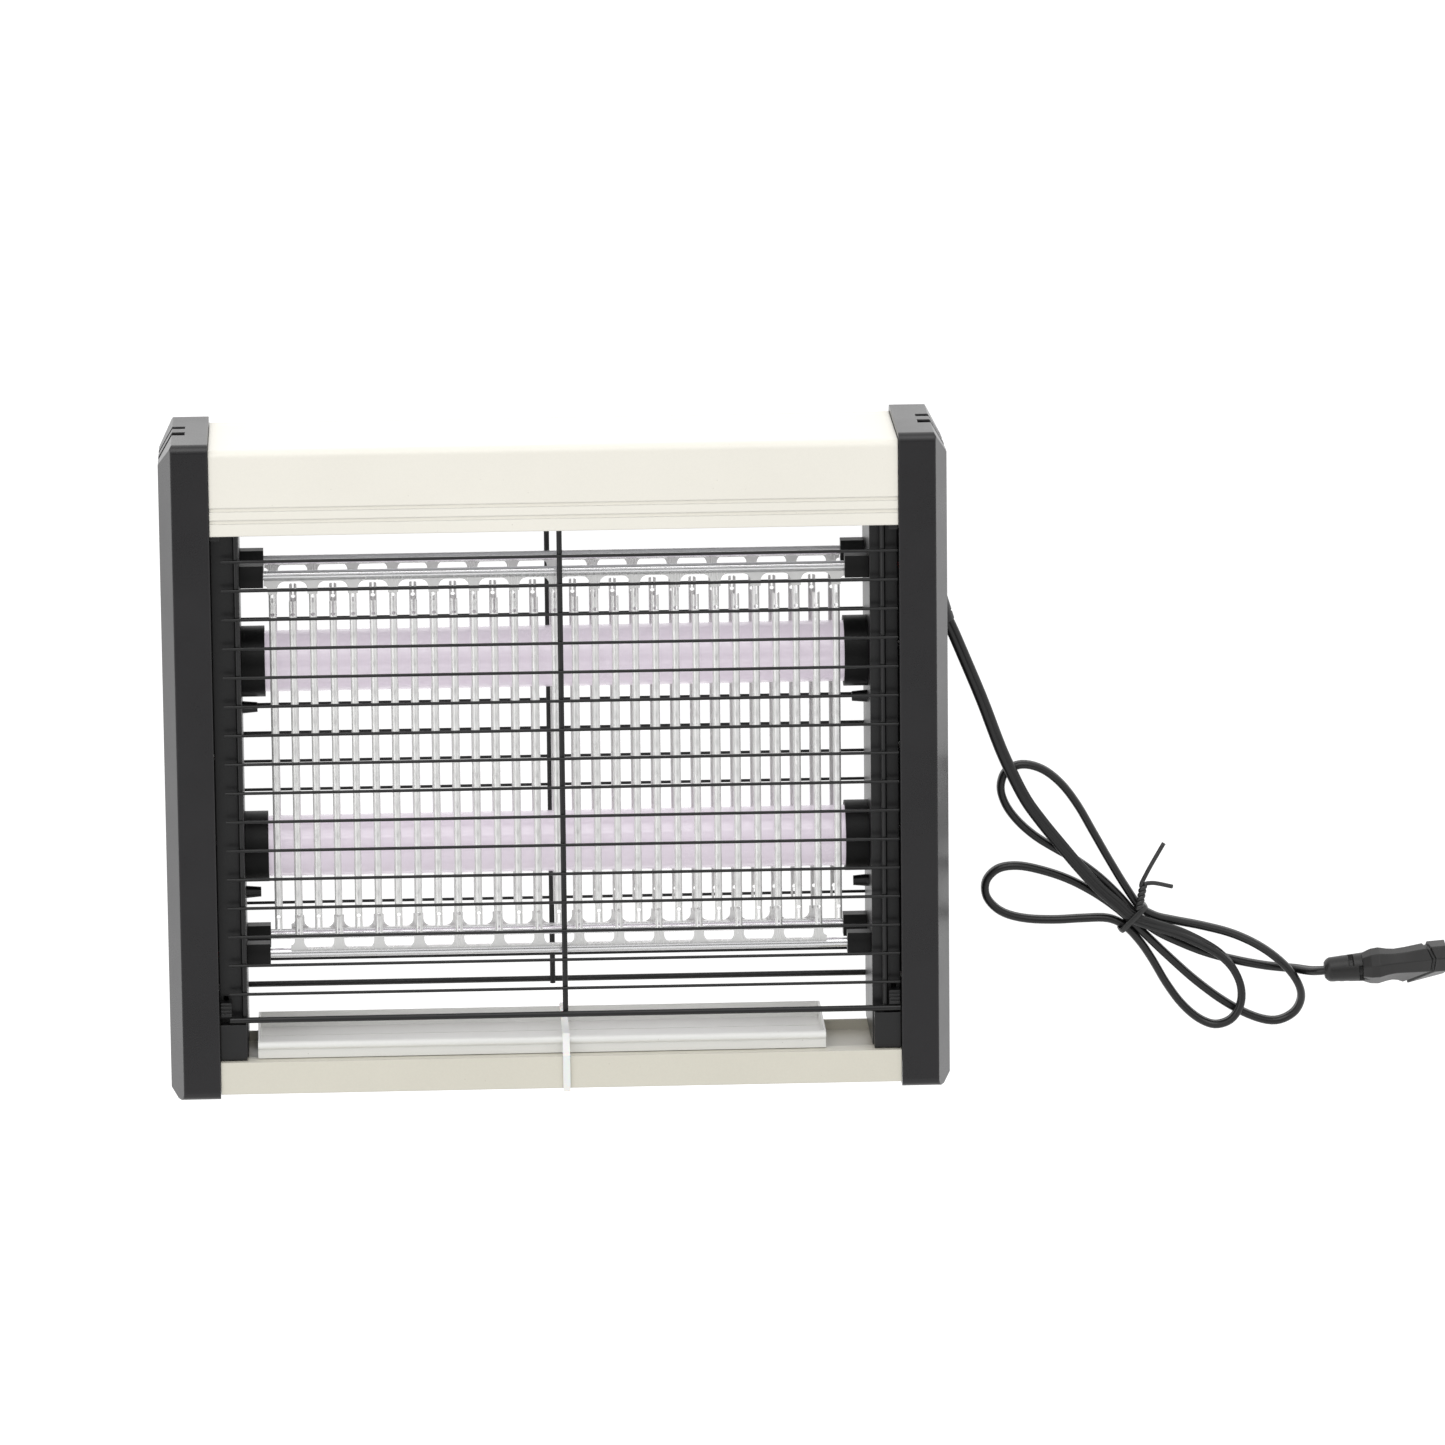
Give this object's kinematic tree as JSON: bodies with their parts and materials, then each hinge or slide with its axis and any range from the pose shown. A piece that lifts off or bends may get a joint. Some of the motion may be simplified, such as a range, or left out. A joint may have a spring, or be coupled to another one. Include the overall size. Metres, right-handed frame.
{
  "type": "electric bug zapper",
  "caption": "Wide electric insect killer on its back: dark end caps, pale cover and base, wire grilles, two lamp tubes between strip grids, tray, tied cord with plug.",
  "frame": {"origin": "middle of the back of the housing, on the surface the object lies on", "axes": "+X towards the object's right end cap, +Y towards its top edge, +Z out of its front grille, because it lies on its back"},
  "size_m": [0.5642, 0.281, 0.0725],
  "materials": {
    "painted_cover": "powder coat, cream white",
    "galvanised_sheet": "plain sheet",
    "screw_steel": "zinc plated",
    "cap_plastic": "fine texture",
    "panel_plastic": "fine texture",
    "channel_paint": "powder coat, cream",
    "holder_plastic": "moulded",
    "lamp_glass": "phosphor coated inside",
    "lamp_cap_metal": "drawn",
    "grille_wire": "black coat",
    "polished_strip": "bright sheet",
    "rod_steel": "bright drawn",
    "insulator_plastic": "moulded",
    "tray_metal": "pale grey coat",
    "tie_nylon": "natural nylon",
    "core_steel": "laminated",
    "coil_copper": "enamelled wire",
    "ballast_steel": "plated can",
    "starter_plastic": "moulded",
    "board_laminate": "glass laminate",
    "capacitor_case": "dipped",
    "diode_body": "moulded",
    "terminal_plastic": "moulded",
    "lead_white": "insulation",
    "lead_red": "silicone insulation",
    "lead_blue": "insulation",
    "cord_rubber": "satin flat twin cord",
    "relief_rubber": "moulded",
    "tie_wire": "plastic covered wire",
    "plug_moulding": "moulded",
    "pin_metal": "nickel plated"
  },
  "bodies": {
    "housing": {"top_cover": "painted_cover", "housing_floor": "galvanised_sheet", "housing_screws": "screw_steel", "left_end_cap": "cap_plastic", "right_end_cap": "cap_plastic", "cap_screws": "screw_steel", "left_side_panel": "panel_plastic", "right_side_panel": "panel_plastic", "base_channel": "channel_paint", "upper_left_lamp_holder": "holder_plastic", "upper_right_lamp_holder": "holder_plastic", "lower_left_lamp_holder": "holder_plastic", "lower_right_lamp_holder": "holder_plastic", "rear_grille": "grille_wire", "front_upper_comb": "polished_strip", "front_lower_comb": "polished_strip", "rear_upper_comb": "polished_strip", "rear_lower_comb": "polished_strip", "front_upper_rod": "rod_steel", "front_lower_rod": "rod_steel", "rear_upper_rod": "rod_steel", "rear_lower_rod": "rod_steel", "left_insulators": "insulator_plastic", "right_insulators": "insulator_plastic", "tray_tie": "tie_nylon", "transformer_core": "core_steel", "transformer_coil": "coil_copper", "upper_lamp_ballast": "ballast_steel", "lower_lamp_ballast": "ballast_steel", "lamp_starters": "starter_plastic", "circuit_board": "board_laminate", "board_capacitors": "capacitor_case", "board_diodes": "diode_body", "terminal_block": "terminal_plastic", "lamp_leads": "lead_white", "grid_leads": "lead_red", "mains_leads": "lead_blue", "cord_clamp": "relief_rubber", "cord_relief": "relief_rubber", "power_cord": "cord_rubber", "cord_tie": "tie_wire", "plug_body": "plug_moulding", "plug_pins": "pin_metal"},
    "hinged_grille": {"front_grille": "grille_wire"},
    "tray": {"collecting_tray": "tray_metal"},
    "left_latch_slide": {"left_latch": "panel_plastic"},
    "right_latch_slide": {"right_latch": "panel_plastic"},
    "upper_lamp": {"upper_lamp_tube": "lamp_glass", "upper_lamp_end_caps": "lamp_cap_metal"},
    "lower_lamp": {"lower_lamp_tube": "lamp_glass", "lower_lamp_end_caps": "lamp_cap_metal"}
  },
  "joints": [
    {"name": "front_grille_hinge", "type": "hinge", "parent": "housing", "child": "hinged_grille", "pos_m": [0, 0.1029, 0.066], "axis": [-1, 0, 0], "range_deg": [0, 50]},
    {"name": "tray_slide", "type": "slide", "parent": "housing", "child": "tray", "axis": [0, 0, 1], "range_m": [0, 0.06], "deforming": ["tray_tie"]},
    {"name": "left_latch_slide", "type": "slide", "parent": "housing", "child": "left_latch_slide", "axis": [0, 1, 0], "range_m": [0, 0.002], "stiffness_N_per_m": 300, "springref_m": -0.001},
    {"name": "right_latch_slide", "type": "slide", "parent": "housing", "child": "right_latch_slide", "axis": [0, 1, 0], "range_m": [0, 0.002], "stiffness_N_per_m": 300, "springref_m": -0.001},
    {"name": "upper_lamp_twist", "type": "hinge", "parent": "housing", "child": "upper_lamp", "pos_m": [0, 0.0413, 0.036], "axis": [1, 0, 0], "range_deg": [0, 90]},
    {"name": "lower_lamp_twist", "type": "hinge", "parent": "housing", "child": "lower_lamp", "pos_m": [0, -0.0387, 0.036], "axis": [1, 0, 0], "range_deg": [0, 90]}
  ]
}
